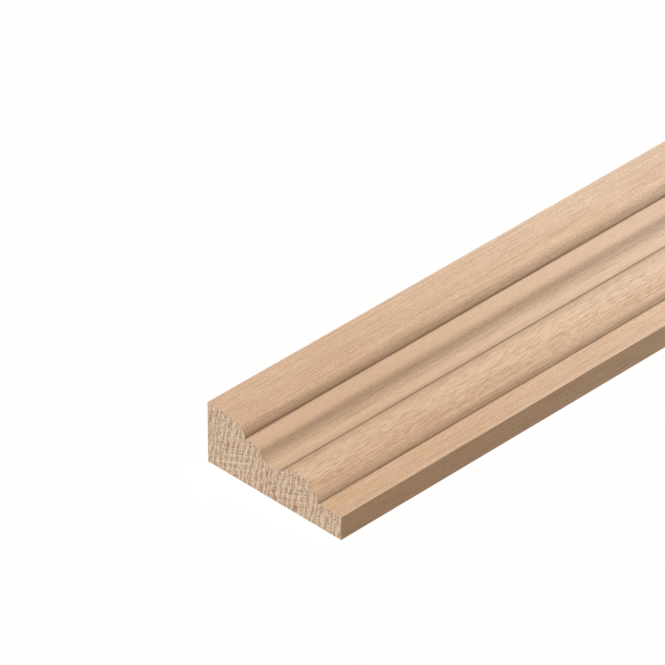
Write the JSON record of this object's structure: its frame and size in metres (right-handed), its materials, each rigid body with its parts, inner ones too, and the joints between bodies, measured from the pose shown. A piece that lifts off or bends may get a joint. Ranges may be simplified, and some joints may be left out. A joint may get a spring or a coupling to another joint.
{
  "type": "barrel moulding",
  "caption": "Flat-backed stick of solid hardwood trim with a crowned barrel, a roll and cove, a small barrel and a thin square edge, cut square at both ends.",
  "frame": {"origin": "middle of the flat back, half way along the stick", "axes": "+X along the stick, away from the end that the picture shows; +Y across it towards the thick edge; +Z out of the back towards the moulded face"},
  "size_m": [1.2, 0.031, 0.012],
  "materials": {
    "planed_hardwood": "Tasmanian oak (pale eucalypt hardwood) moulded to a bare planed finish, with fine open pores along the stick and sawn end grain"
  },
  "bodies": {
    "root": {"barrel_moulding": "planed_hardwood"}
  },
  "joints": []
}
